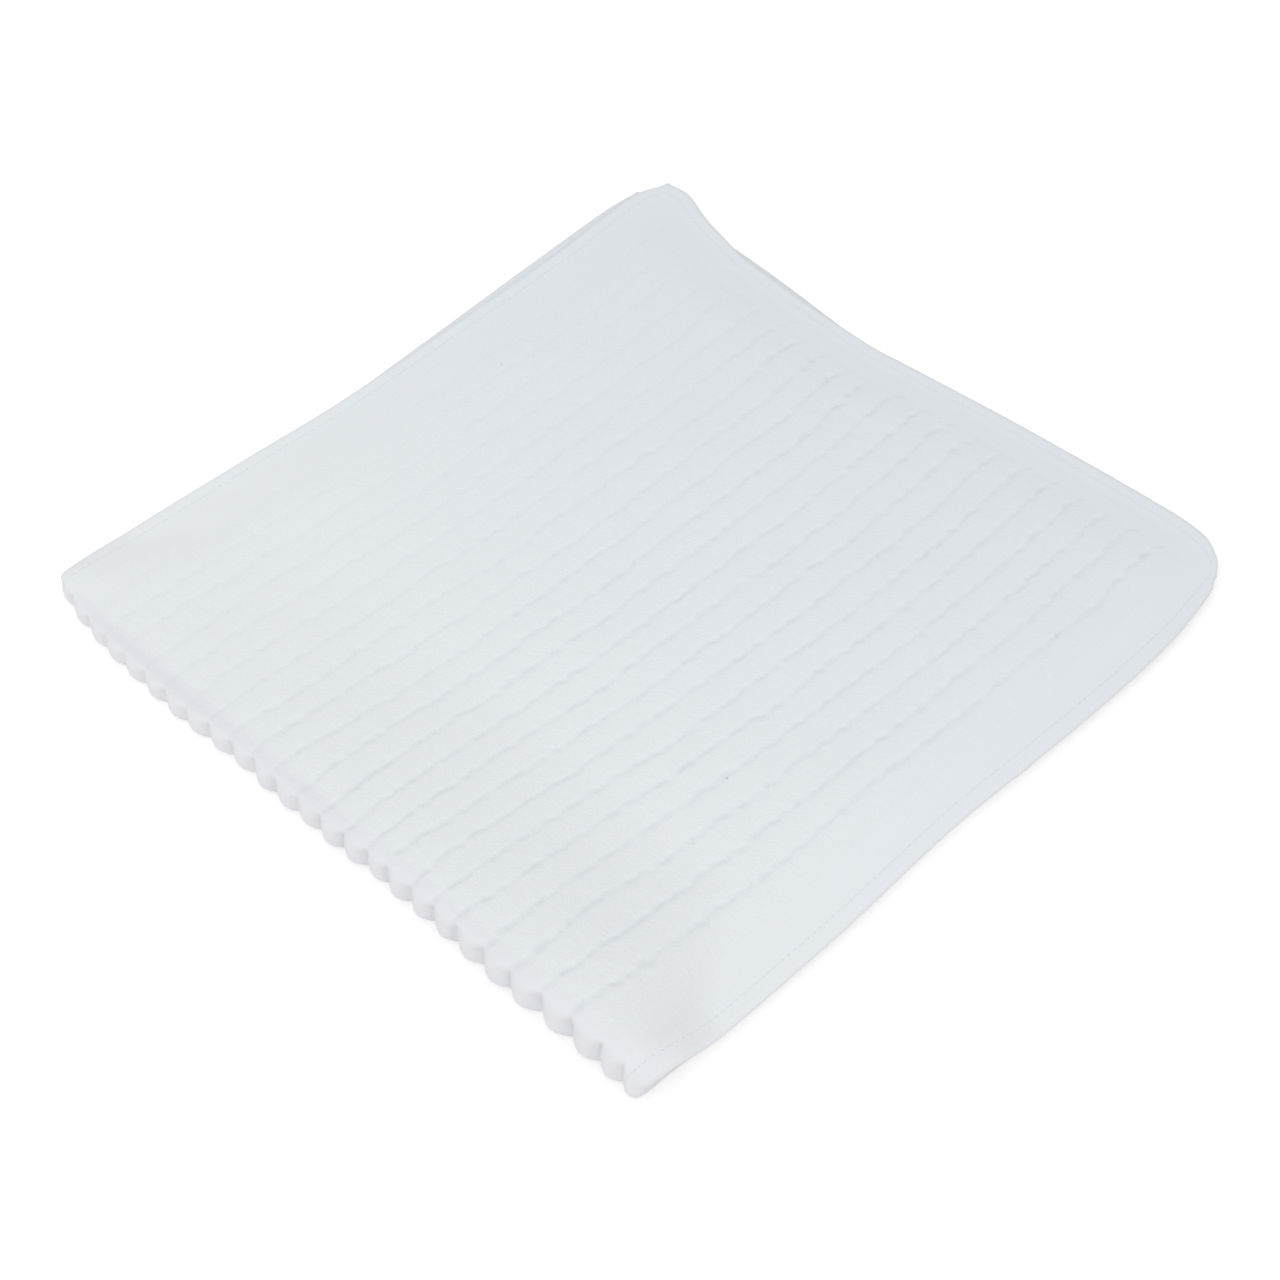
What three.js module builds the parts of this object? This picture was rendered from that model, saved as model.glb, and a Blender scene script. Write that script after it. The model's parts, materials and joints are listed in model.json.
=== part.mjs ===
import * as THREE from 'three';

// A ribbed terry dishcloth, folded once across its ribs into two leaves.
// X runs along the fold, Y runs along the ribs away from the fold, Z is up. Sizes are in millimetres.

// The flat cloth and its two leaves
const clothWidth = 300; // selvedge to selvedge, across the ribs
const foldedLength = 312; // from the fold to the upper end hem
const lowerShortfall = 8; // how far the lower end hem stops short of the upper one
const leafThickness = 4.2; // one ribbed leaf, over the ribs of both its faces
const leafGap = 0.3; // between the leaves where they lie on each other
const seamGap = 0.3; // between neighbouring zones of one leaf
const restCut = 0.5; // how far the lower ribs are pressed flat by what they rest on

// The ribs
const ribPitch = 11.9;
const grooveDepth = 1.3; // in the open field
const foldGrooveDepth = 2.4; // where the ribs turn round the fold
const scallopDepth = 1.9; // of the plain borders where they turn round the fold
const endGrooveDepth = 0.8; // where the ribs stop at an end hem
const ribDrift = 7.5; // how far the ribs lean to the left near the fold

// The fold
const foldHeightLeft = 9.4;
const foldHeightRight = 18;
const foldDepth = 16; // of the strip that holds the bend
const foldLean = 9; // how much further forward the left end of the fold line lies
const foldForward = 5.4; // the middle of the fold line, ahead of the cloth's straight edge
const foldCornerSet = 9; // how far the fold's corners stay behind its line
const foldEndDrop = 4.6; // how far the top of the fold sinks at its right end
const foldEndLength = 10; // over which it sinks there
const puffLength = 75; // over which the raised fold settles to the plain thickness
const edgePuffLength = 30; // the same, beside the selvedges

// Plain borders and their turned hems
const leftBorderWidth = 24;
const rightBorderWidth = 18;
const endBorderWidth = 17;
const borderThickness = 1.3; // one plain layer
const hemTurn = 7.6; // width that is turned under along each edge
const hemSlit = 0.3; // between the two layers of a hem
const hemRound = 0.9; // of the turned edge
const hemRise = 36; // over which a leaf thickens from its hem to its full ribs

// The sewing thread
const seamInset = 5.6; // from the cloth's edge to the row of stitches
const threadThickness = 0.4;
const threadGap = 0.3; // between the thread and the layer that it is pulled into
const threadBed = 0.8; // depth of the dent that the stitches pull into the hem

// How far the soft outline strays from a straight rectangle
const sideStray = 6;
const endStray = 9;

// Rows along a leaf, between the fold strip and the end hem, and steps round the fold
const rowShares = [0, 0.1, 0.24, 0.42, 0.62, 0.82, 1];
const foldAngleShares = [0, 0.5, 1];
const threadSides = 6;

// Places across one rib pitch, from groove to groove, and how full the rib is there
const ribPlaceShares = [0, 0.2, 0.5, 0.8];
const ribFullShares = [0, 0.74, 1, 0.74];

// Outlines, seen from above: pairs of the share along the edge and the share of the stray
const upperLeftShares = [
  [0, 0.8], [0.05, 0.95], [0.14, 0.85], [0.3, 0.45], [0.45, 0.12], [0.8, 0.12], [0.95, 0.5], [1, -0.25],
];
const upperRightShares = [
  [0, -0.4], [0.07, 0.05], [0.3, 0.42], [0.5, 0.3], [0.63, 0.65], [0.77, 0.92], [0.88, 0.8], [0.94, 0.4],
  [1, -0.35],
];
const upperEndShares = [
  [0, 0.45], [0.05, 0.62], [0.12, -0.15], [0.2, -0.75], [0.42, -0.75], [0.5, -0.45], [0.67, 0.27],
  [0.9, 0.92], [0.95, 0.8], [0.98, 0.25], [1, -0.7],
];
const lowerLeftShares = [
  [0, 0.8], [0.05, 0.85], [0.2, 0.7], [0.45, 0.45], [0.6, 0.6], [0.75, 0.85], [0.94, 1.05], [1, 0.6],
];
const lowerRightShares = [
  [0, -0.4], [0.1, -0.05], [0.5, 0.05], [0.8, 0.45], [0.93, 0.1], [1, -0.9],
];
const lowerEndShares = [
  [0, 0.05], [0.1, 0.45], [0.25, 0.6], [0.4, 0.35], [0.5, 0.1], [0.7, -0.1], [0.95, -0.1], [1, -0.8],
];
const foldSetShares = [
  [0, 1], [0.04, 0.5], [0.1, 0.2], [0.2, 0.05], [0.5, 0.03], [0.7, 0.07], [0.9, 0.14], [1, 0.4],
];

// Where the ribs lean near the fold: across the cloth, and along a leaf
const driftAcrossShares = [[0, 0], [0.15, 0.1], [0.5, 0.35], [0.76, 1], [0.93, 0.2], [1, 0]];
const driftAlongShares = [[0, 1], [0.2, 1], [0.5, 0], [1, 0]];

// A smooth curve through pairs of place and value.
function curveThrough(pairs) {
  const places = pairs.map((pair) => pair[0]);
  const values = pairs.map((pair) => pair[1]);
  const curve = new THREE.CubicInterpolant(places, values, 1, new Float64Array(1));
  return (place) => curve.evaluate(THREE.MathUtils.clamp(place, 0, 1))[0];
}

// The same curve, but running straight between a few stops.
function straightBetween(curve, stops) {
  return (place) => {
    const next = Math.max(stops.findIndex((stop) => stop >= place), 1);
    const share = (place - stops[next - 1]) / (stops[next] - stops[next - 1]);
    return THREE.MathUtils.lerp(curve(stops[next - 1]), curve(stops[next]), share);
  };
}

// The ribs lie side by side between the borders. The end hems run straight from groove to groove, and
// in the corners from stops where the side hems are turned.
const hemThickness = 2 * borderThickness + hemSlit;
const fieldStart = leftBorderWidth;
const fieldEnd = clothWidth - rightBorderWidth;
const ribCount = Math.round((fieldEnd - fieldStart) / ribPitch);
const seamStops = [0, hemTurn / clothWidth];
for (let groove = 0; groove <= ribCount; groove += 1) {
  seamStops.push(THREE.MathUtils.lerp(fieldStart, fieldEnd, groove / ribCount) / clothWidth);
}
seamStops.push(1 - hemTurn / clothWidth, 1);

const foldSet = curveThrough(foldSetShares);
const driftAcross = curveThrough(driftAcrossShares);
const driftAlong = curveThrough(driftAlongShares);

// The fold line leans a little in plan and rises to the right, where the fold stands higher.
function foldLineY(x) {
  return foldLean * x / clothWidth - foldForward;
}

function foldLineZ(x) {
  const share = THREE.MathUtils.clamp(x / clothWidth + 0.5, 0, 1);
  return THREE.MathUtils.lerp(foldHeightLeft, foldHeightRight, share) / 2;
}

// The top of the fold, which sinks at its right end.
function foldTopZ(x) {
  const fromRight = clothWidth / 2 - x;
  const sunk = 1 - THREE.MathUtils.smoothstep(fromRight, 0, foldEndLength);
  return 2 * foldLineZ(x) - foldEndDrop * sunk;
}

// How full a leaf is at a distance from its selvedges.
function fullFromSides(across) {
  return THREE.MathUtils.smoothstep(Math.min(across, clothWidth - across), 0, hemRise);
}

// The thickness of one leaf, which thins towards its hems.
function leafDepth(across, fromEnd) {
  const full = fullFromSides(across) * THREE.MathUtils.smoothstep(fromEnd, 0, hemRise);
  return THREE.MathUtils.lerp(hemThickness, leafThickness, full);
}

// The height of the upper leaf's top face: two leaves thick, and swollen towards the fold.
function upperTopZ(x, fromFold, across, fromEnd) {
  const flat = 2 * leafDepth(across, fromEnd) + leafGap;
  const puff = THREE.MathUtils.lerp(edgePuffLength, puffLength, fullFromSides(across));
  const past = Math.max(fromFold - foldLineZ(x), 0);
  return THREE.MathUtils.lerp(foldTopZ(x), flat, THREE.MathUtils.smoothstep(past, 0, puff));
}

const lowerLeaf = {
  name: 'lower',
  length: foldedLength - lowerShortfall,
  left: curveThrough(lowerLeftShares),
  right: curveThrough(lowerRightShares),
  end: straightBetween(curveThrough(lowerEndShares), seamStops),
  faceZ: () => 0,
  inward: 1,
};

const upperLeaf = {
  name: 'upper',
  length: foldedLength,
  left: curveThrough(upperLeftShares),
  right: curveThrough(upperRightShares),
  end: straightBetween(curveThrough(upperEndShares), seamStops),
  faceZ: upperTopZ,
  inward: -1,
};

// The place of a point of a leaf: its distance from the left selvedge, its distance from the fold
// line, both along the cloth, and its depth below the leaf's outer face.
function placeOn(leaf, across, along, depth) {
  const acrossShare = across / clothWidth;
  const alongShare = along / leaf.length;
  const left = -clothWidth / 2 - sideStray * leaf.left(alongShare);
  const right = clothWidth / 2 + sideStray * leaf.right(alongShare);
  const drift = ribDrift * driftAcross(acrossShare) * driftAlong(alongShare);
  const x = THREE.MathUtils.lerp(left, right, acrossShare) - drift;
  const back = leaf.length + endStray * leaf.end(acrossShare);
  const y = THREE.MathUtils.lerp(foldLineY(x), back, alongShare);
  const face = leaf.faceZ(x, y - foldLineY(x), across, leaf.length - along);
  return new THREE.Vector3(x, y, face + leaf.inward * depth);
}

// The faces that close a flat ring, seen along one direction.
function flatEnd(flatten) {
  return (ring) => THREE.ShapeUtils.triangulateShape(ring.map(flatten), []);
}

// The faces that close a long thin ring whose second half runs back under its first half.
function stripEnd(ring) {
  const last = ring.length - 1;
  const faces = [];
  for (let place = 0; place + 1 < ring.length / 2; place += 1) {
    faces.push([place, place + 1, last - place - 1], [place, last - place - 1, last - place]);
  }
  return faces;
}

// One closed body through rings of points.
function loft(rings, endFaces) {
  const count = rings[0].length;
  const positions = rings.flat().flatMap((point) => point.toArray());
  const index = [];
  for (let ring = 0; ring + 1 < rings.length; ring += 1) {
    for (let side = 0; side < count; side += 1) {
      const a = ring * count + side;
      const b = ring * count + (side + 1) % count;
      index.push(a, b, b + count, a, b + count, a + count);
    }
  }
  const closeEnd = (ring, runsForward) => {
    for (const face of endFaces(rings[ring])) {
      const forward = (face[1] - face[0] + count) % count < (face[2] - face[0] + count) % count;
      const corners = face.map((corner) => ring * count + corner);
      index.push(...(forward === runsForward ? corners : corners.reverse()));
    }
  };
  closeEnd(0, false);
  closeEnd(rings.length - 1, true);
  const geometry = new THREE.BufferGeometry();
  geometry.setAttribute('position', new THREE.Float32BufferAttribute(positions, 3));
  geometry.setIndex(index);
  return facingOut(geometry);
}

// Turns every triangle over if the body's faces point inwards.
function facingOut(geometry) {
  const position = geometry.getAttribute('position');
  const index = geometry.getIndex();
  const corner = (place) => new THREE.Vector3().fromBufferAttribute(position, index.getX(place));
  let volume = 0;
  for (let face = 0; face < index.count; face += 3) {
    volume += corner(face).dot(corner(face + 1).cross(corner(face + 2)));
  }
  if (volume < 0) {
    for (let face = 0; face < index.count; face += 3) {
      const swapped = index.getX(face);
      index.setX(face, index.getX(face + 2));
      index.setX(face + 2, swapped);
    }
  }
  geometry.computeVertexNormals();
  return geometry;
}

// Stops across a band of ribs: each rib has the same few places, and a last groove closes the band.
function ribStops(start, end, groove, fullGroove) {
  const ribs = Math.max(1, Math.round((end - start) / ribPitch));
  const pitch = (end - start) / ribs;
  const stops = [];
  for (let rib = 0; rib < ribs; rib += 1) {
    ribPlaceShares.forEach((share, step) => {
      stops.push({ across: start + (rib + share) * pitch, full: ribFullShares[step], groove, fullGroove });
    });
  }
  stops.push({ across: end, full: 0, groove, fullGroove });
  return stops;
}

// The outer ribs of the lower leaf are pressed flat against what the cloth lies on.
function outerDepth(leaf, depth) {
  return leaf === lowerLeaf ? Math.max(depth - restCut, 0) : depth;
}

// The ribbed terry between the borders, from the fold strip to the end hem.
function ribbedField(leaf) {
  const start = foldDepth + seamGap;
  const end = leaf.length - endBorderWidth - seamGap;
  const stops = ribStops(fieldStart + seamGap / 2, fieldEnd - seamGap / 2);
  const rings = rowShares.map((share) => {
    const along = THREE.MathUtils.lerp(start, end, share);
    const groove = share === 1 ? endGrooveDepth : grooveDepth;
    const dips = stops.map((stop) => groove * (1 - stop.full));
    const outer = stops.map((stop, place) => {
      return placeOn(leaf, stop.across, along, outerDepth(leaf, dips[place]));
    });
    const inner = stops.map((stop, place) => {
      const depth = leafDepth(stop.across, leaf.length - along) - dips[place];
      return placeOn(leaf, stop.across, along, depth);
    });
    return [...outer, ...inner.reverse()];
  });
  return loft(rings, stripEnd);
}

// Half of the bend, above or below the fold line. The ribs show as scallops along its front, which
// keeps behind the fold line, most at the corners. It is as thin as a hem at both of its ends.
function foldHalf(leaf) {
  const stops = [
    ...ribStops(0, fieldStart, 0, scallopDepth).slice(0, -1),
    ...ribStops(fieldStart, fieldEnd, grooveDepth, foldGrooveDepth),
    ...ribStops(fieldEnd, clothWidth, 0, scallopDepth).slice(1),
  ];
  const away = leaf === lowerLeaf ? -1 : 1;
  const rings = stops.map((stop) => {
    const line = placeOn(leaf, stop.across, 0, 0);
    const front = line.y + foldCornerSet * foldSet(stop.across / clothWidth);
    const radius = foldLineZ(line.x);
    const height = leaf === lowerLeaf ? radius : foldTopZ(line.x) - radius;
    const isRibbed = stop.across >= fieldStart && stop.across <= fieldEnd;
    const thickness = isRibbed ? leafThickness : hemThickness;
    const bend = (angleShare, depth) => {
      const angle = angleShare * Math.PI / 2;
      const y = front + radius - (radius - depth) * Math.cos(angle);
      const rise = Math.max((height - depth) * Math.sin(angle), leafGap / 2);
      return new THREE.Vector3(line.x, y, radius + away * rise);
    };
    const dips = foldAngleShares.map((share) => {
      return THREE.MathUtils.lerp(stop.fullGroove, stop.groove, share) * (1 - stop.full);
    });
    const outer = foldAngleShares.map((share, step) => {
      const depth = share === 1 ? outerDepth(leaf, dips[step]) : dips[step];
      return bend(share, depth);
    });
    const inner = foldAngleShares.map((share) => bend(share, thickness));
    const endDip = outerDepth(leaf, stop.groove * (1 - stop.full));
    const end = [
      placeOn(leaf, stop.across, foldDepth, endDip),
      placeOn(leaf, stop.across, foldDepth, thickness),
    ];
    return [...outer, ...end, ...inner.reverse()];
  });
  return loft(rings, flatEnd((point) => new THREE.Vector2(point.y, point.z)));
}

// The section of a border with its turned hem, as distances from the cloth's edge and depths.
function hemSection(width) {
  const bedLow = seamInset - threadThickness / 2 - threadGap;
  const bedHigh = seamInset + threadThickness / 2 + threadGap;
  return [
    [width, 0], [hemTurn, 0],
    [bedHigh, 0], [bedHigh, threadBed], [bedLow, threadBed], [bedLow, 0],
    [hemRound, 0], [0, hemRound], [0, hemThickness - hemRound], [hemRound, hemThickness],
    [bedLow, hemThickness], [bedLow, hemThickness - threadBed],
    [bedHigh, hemThickness - threadBed], [bedHigh, hemThickness],
    [hemTurn, hemThickness], [hemTurn, borderThickness + hemSlit],
    [borderThickness, borderThickness + hemSlit], [borderThickness, borderThickness],
    [hemTurn, borderThickness], [width, borderThickness],
  ];
}

// The section of one sewing thread, which lies in its dent on the outer or the inner face of a hem.
function threadSection(onInside) {
  const radius = threadThickness / 2;
  const fromFace = threadBed - threadGap - radius;
  const depth = onInside ? hemThickness - fromFace : fromFace;
  const points = [];
  for (let side = 0; side < threadSides; side += 1) {
    const angle = 2 * Math.PI * side / threadSides;
    points.push([seamInset + radius * Math.cos(angle), depth + radius * Math.sin(angle)]);
  }
  return points;
}

// Sweeps a section along a side border, from the fold strip to the end hem.
function alongSide(leaf, section, onRight) {
  const start = foldDepth + seamGap;
  const end = leaf.length - endBorderWidth - seamGap;
  const rings = rowShares.map((share) => {
    const along = THREE.MathUtils.lerp(start, end, share);
    return section.map(([fromEdge, depth]) => {
      const across = onRight ? clothWidth - fromEdge : fromEdge;
      return placeOn(leaf, across, along, depth);
    });
  });
  return loft(rings, flatEnd((point) => new THREE.Vector2(point.x, point.z)));
}

// Sweeps a section along the end border, over the full width of the cloth.
function alongEnd(leaf, section, inset = 0) {
  const rings = seamStops.map((stop) => {
    const across = THREE.MathUtils.clamp(stop * clothWidth, inset, clothWidth - inset);
    return section.map(([fromEdge, depth]) => placeOn(leaf, across, leaf.length - fromEdge, depth));
  });
  return loft(rings, flatEnd((point) => new THREE.Vector2(point.y, point.z)));
}

function finish(color, roughness) {
  return new THREE.MeshStandardMaterial({ color, roughness, metalness: 0 });
}

const cloth = new THREE.Group();

function addPiece(name, geometry, material) {
  const mesh = new THREE.Mesh(geometry, material);
  mesh.name = name;
  cloth.add(mesh);
}

for (const leaf of [lowerLeaf, upperLeaf]) {
  addPiece(`${leaf.name}_ribbed_field`, ribbedField(leaf), finish(0xe1e5e8, 0.95));
  addPiece(`${leaf.name}_fold_half`, foldHalf(leaf), finish(0xe0e3e7, 0.95));
  const leftHem = hemSection(leftBorderWidth - seamGap / 2);
  const rightHem = hemSection(rightBorderWidth - seamGap / 2);
  addPiece(`${leaf.name}_left_hem`, alongSide(leaf, leftHem, false), finish(0xe2e6e9, 0.9));
  addPiece(`${leaf.name}_right_hem`, alongSide(leaf, rightHem, true), finish(0xe2e6e9, 0.9));
  addPiece(`${leaf.name}_end_hem`, alongEnd(leaf, hemSection(endBorderWidth)), finish(0xe2e6e9, 0.9));
  for (const [thread, onInside] of [['needle_thread', false], ['bobbin_thread', true]]) {
    const section = threadSection(onInside);
    addPiece(`${leaf.name}_left_${thread}`, alongSide(leaf, section, false), finish(0xeceff1, 0.7));
    addPiece(`${leaf.name}_right_${thread}`, alongSide(leaf, section, true), finish(0xeceff1, 0.7));
    addPiece(`${leaf.name}_end_${thread}`, alongEnd(leaf, section, seamInset), finish(0xeceff1, 0.7));
  }
}

// The origin is under the middle of the cloth, on what it rests on.
const extent = new THREE.Box3().setFromObject(cloth);
const middle = extent.getCenter(new THREE.Vector3());
cloth.position.set(-middle.x, -middle.y, 0);

export default cloth;
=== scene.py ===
import bisect
import functools
import json
import math

import bmesh
import bpy
from mathutils import Matrix, Vector, noise


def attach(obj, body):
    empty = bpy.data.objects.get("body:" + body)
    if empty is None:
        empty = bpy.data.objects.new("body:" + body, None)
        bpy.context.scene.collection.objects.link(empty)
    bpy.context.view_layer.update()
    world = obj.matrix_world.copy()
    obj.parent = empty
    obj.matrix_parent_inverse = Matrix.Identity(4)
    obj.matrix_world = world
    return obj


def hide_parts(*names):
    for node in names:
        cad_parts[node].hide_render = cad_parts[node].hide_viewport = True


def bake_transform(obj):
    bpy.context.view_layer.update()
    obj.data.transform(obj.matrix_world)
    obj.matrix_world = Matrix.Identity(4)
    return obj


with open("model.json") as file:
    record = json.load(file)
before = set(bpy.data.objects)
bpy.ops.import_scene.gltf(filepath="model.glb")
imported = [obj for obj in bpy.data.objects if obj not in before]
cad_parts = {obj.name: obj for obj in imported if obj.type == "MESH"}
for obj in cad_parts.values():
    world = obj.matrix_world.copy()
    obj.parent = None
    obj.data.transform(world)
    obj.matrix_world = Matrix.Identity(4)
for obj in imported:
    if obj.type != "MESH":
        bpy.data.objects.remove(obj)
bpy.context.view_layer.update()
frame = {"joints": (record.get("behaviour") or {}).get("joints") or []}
mm = 0.001

# A ribbed terry dishcloth, folded once across its ribs. Every piece starts as a flat slab in cloth
# coordinates, s across the ribs from the left selvedge and v along them from the fold line, and is
# then laid where the folded cloth lies.

cloth = {
    "width": 300 * mm,
    "upperLength": 312 * mm,
    "lowerLength": 304 * mm,
    "ribbedThickness": 4.2 * mm,
    "plainThickness": 1.3 * mm,
    "leafGap": 0.3 * mm,
    "leftBorder": 24 * mm,
    "rightBorder": 18 * mm,
    "endBorder": 17 * mm,
    "hemFlap": 6.8 * mm,        # where the turned edge ends
    "flapPast": 0.1 * mm,       # how far past it the end hem's piece begins
    "hemSlit": 0.3 * mm,
    "sideStray": 6 * mm,
    "endStray": 9 * mm,
    "ribs": 22,
}

outline = {
    "upperLeft": [(0, 0.8), (0.05, 1.1), (0.14, 1.05), (0.3, 0.6), (0.45, 0.15), (0.8, 0.3),
                  (0.95, 0.75), (1, 0)],
    "upperRight": [(0, -0.15), (0.07, 0.12), (0.3, 0.42), (0.5, 0.3), (0.63, 0.65), (0.77, 0.92),
                   (0.88, 0.85), (0.94, 0.5), (0.975, 0.2), (1, -0.3)],
    "upperEnd": [(0, 0.65), (0.04, 0.75), (0.085, 0.22), (0.12, -0.08), (0.2, -0.55), (0.42, -0.65),
                 (0.5, -0.33), (0.67, 0.38), (0.9, 1.05), (0.95, 0.95), (0.98, 0.4), (0.992, -0.05),
                 (1, -0.45)],
    "lowerLeft": [(0, 0.8), (0.05, 1.1), (0.12, 1.15), (0.3, 0.8), (0.45, 0.5), (0.6, 0.75),
                  (0.75, 1.1), (0.94, 1.45), (1, 1.3)],
    "lowerRight": [(0, -0.15), (0.1, 0), (0.5, 0.05), (0.8, 0.36), (0.92, -0.5), (1, -2.3)],
    "lowerEnd": [(0, 0.4), (0.1, 0.75), (0.25, 0.75), (0.4, 0.47), (0.5, 0.22), (0.7, 0),
                 (0.95, 0), (1, -1)],
}

fold = {
    "heightLeft": 9.4 * mm,
    "heightRight": 18 * mm,
    "strip": 16 * mm,           # how far back the bend's own piece reaches
    "lean": 9 * mm,
    "forward": 5.4 * mm,
    "cornerSet": 9 * mm,
    "cornerCurve": [(0, 1.05), (0.04, 0.68), (0.1, 0.3), (0.18, 0.14), (0.26, 0.05), (0.37, 0.2),
                    (0.5, 0.14), (0.6, 0.28), (0.72, 0.26), (0.82, 0.18), (0.9, 0.26), (1, 0.28)],
    "endDrop": 4.6 * mm,
    "endLength": 10 * mm,
    "puff": 75 * mm,
    "edgePuff": 30 * mm,
    "pressed": 0.81,            # the cloth is thinner where it bends
    "pressedUpTo": 15 * mm,
    "fullFrom": 34 * mm,
    "squareness": 2.9,          # 2 is a round bend
    "arcShare": 0.72,           # of the bend's rows, the rest is the flat strip behind it
    "rowEase": 1.75,            # draws the rows together at the front
    "blend": 0.6 * mm,          # half the height of a blend band at the bend
    "closeUpper": 8 * mm,       # how far in from the selvedge the leaves' edges turn to meet
    "closeLower": 3.5 * mm,
    "closeGap": 0.15 * mm,
    "closeLean": 1.2 * mm,
    "closeRise": 4 * mm,
    "closedUpTo": 42 * mm,
}

ribs = {
    "drift": 7.5 * mm,
    "driftAcross": [(0, 0), (0.15, 0.1), (0.5, 0.35), (0.76, 1), (0.93, 0.2), (1, 0)],
    "driftAlong": [(0, 1), (0.2, 1), (0.5, 0), (1, 0)],
    "groove": 0.33 * mm,        # depth of a full groove
    "grooveHalf": 1.1 * mm,     # half its width
    "crown": 0.1 * mm,          # how much a rib falls away towards its grooves
    "scallopLeft": 2.6 * mm,    # depth of the rounded notches round the fold, at its two ends
    "scallopRight": 4.4 * mm,
    "notchAbove": 2.2,          # how soon a notch runs out, above the fold's front and below it
    "notchBelow": 1,
    "notchShape": 1.8,
    "sideLobes": 2,             # in each side border
    "lobes": {"weight": 0.8 * mm, "size": 11 * mm, "seed": 91},     # how far they stand in or out
    "nub": 0.06 * mm,           # terry loops
    "nubSize": 2.3 * mm,
    "nubSeed": 11,
    "tuft": 0.6,                # and their tufts, as a share of them
    "tuftSize": 4.5 * mm,
    "tuftSeed": 5,
    "innerSeed": 2,             # added to both on the inner face
    "inner": 0.6,               # share of the relief on the inner face
    "swell": {"weight": 0.5 * mm, "size": 52 * mm, "seed": 61},     # slow rise of a whole leaf
    "swellFrom": 60 * mm,       # from the fold
    "swellFade": 20 * mm,       # and from the borders
    "pileEdge": 3 * mm,         # over which the pile rises from the plain border
    "sideStep": 0.05 * mm,      # how far the plain border lies below the pile
    "endStep": 0.14 * mm,
    "endStepReach": 15 * mm,    # from the end border, where the one step turns into the other
    "endSlope": 2 * mm,
    "endRound": 3 * mm,         # how far the rib's end is rounded
    "endStray": 0.9 * mm,
    "endSeed": (1.7, 0.5, 9),   # the step from rib to rib, and a fixed place
}

hem = {
    "dent": 0.1 * mm,
    "dentHalf": 1.1 * mm,
    "seamInset": 5.6 * mm,
    "stitch": 3 * mm,
    "pull": 0.25,               # how much the dent's depth changes from stitch to stitch
    "levelBefore": 1 * mm,      # where the border's lower level begins and is full, from the flap's end
    "levelAfter": 3 * mm,
    "pucker": 0.08 * mm,
    "puckerSize": 9 * mm,
    "puckerSeed": 71,
    "puckerReach": 15 * mm,
    "puckerFade": 6 * mm,
    "rise": 36 * mm,            # over which a leaf thickens from its hem to its ribs
    "turnShare": 0.42,          # of the turned strip, the rest is the flap
}

mesh = {
    "coarsePerRib": 6,
    "fieldRow": 1.15 * mm,
    "hemCell": 1.0 * mm,
    "arcRows": 56,
    "stripRows": 22,
    "innerPlace": 0.01,         # sets the grain of the inner face apart
}

hinge = frame["joints"][0]
hingePoint = Vector(hinge["pos_m"])
middleX = hingePoint.x
middleY = hingePoint.y + fold["forward"]
hemThickness = 2 * cloth["plainThickness"] + cloth["hemSlit"]
hemRadius = hemThickness / 2
fieldStart = cloth["leftBorder"]
fieldEnd = cloth["width"] - cloth["rightBorder"]
ribPitch = (fieldEnd - fieldStart) / cloth["ribs"]
turnedStrip = math.pi * hemThickness / 2 + cloth["hemFlap"] - hemThickness / 2
flapReach = turnedStrip - hemRadius
hemStart = cloth["hemFlap"] + cloth["flapPast"]


def mix(a, b, share):
    return a + (b - a) * share


def ease(value, low, high):
    share = min(max((value - low) / (high - low), 0.0), 1.0)
    return share * share * (3 - 2 * share)


def curveThrough(pairs):
    # a smooth curve through places and values
    places = [p[0] for p in pairs]
    values = [p[1] for p in pairs]
    last = len(pairs) - 1
    slopes = [0.0] * len(pairs)
    for i in range(1, last):
        slopes[i] = (values[i + 1] - values[i - 1]) / (places[i + 1] - places[i - 1])

    def at(place):
        place = min(max(place, places[0]), places[-1])
        i = min(max(bisect.bisect_right(places, place) - 1, 0), last - 1)
        span = places[i + 1] - places[i]
        t = (place - places[i]) / span
        rise = values[i + 1] - values[i]
        bend = t * (1 - t)
        first = slopes[i] * span - rise
        second = rise - slopes[i + 1] * span
        return values[i] + rise * t + bend * (first * (1 - t) + second * t)
    return at


edges = {name: curveThrough(pairs) for name, pairs in outline.items()}
cornerAt = curveThrough(fold["cornerCurve"])
driftAcross = curveThrough(ribs["driftAcross"])
driftAlong = curveThrough(ribs["driftAlong"])


def ripple(s, v, size, seed):
    return noise.noise((s / size, v / size, seed))


def wave(s, v, kind):
    return kind["weight"] * ripple(s * kind.get("across", 1), v, kind["size"], kind["seed"])


# How the folded cloth lies

def foldLineY(x):
    return fold["lean"] * x / cloth["width"] - fold["forward"]


def foldLineZ(x):
    share = min(max(x / cloth["width"] + 0.5, 0), 1)
    return mix(fold["heightLeft"], fold["heightRight"], share) / 2


def cornerInset(s):
    # how far the fold's front stands back from its straight line
    return fold["cornerSet"] * cornerAt(s / cloth["width"])


def foldTopZ(x):
    sunk = 1 - ease(cloth["width"] / 2 - x, 0, fold["endLength"])
    return 2 * foldLineZ(x) - fold["endDrop"] * sunk


def upperTopZ(x, fromFold, s, fromEnd):
    flat = 2 * leafThickness(s, fromEnd) + cloth["leafGap"]
    inner = ease(min(s, cloth["width"] - s), 0, hem["rise"])
    puff = mix(fold["edgePuff"], fold["puff"], inner)
    past = max(fromFold - cornerInset(s) - foldLineZ(x), 0)
    return mix(foldTopZ(x), flat, ease(past, 0, puff))


def leafThickness(s, fromEnd):
    side = ease(min(s, cloth["width"] - s), 0, hem["rise"])
    end = ease(fromEnd, 0, hem["rise"])
    return mix(hemThickness, cloth["ribbedThickness"], side * end)


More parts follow.
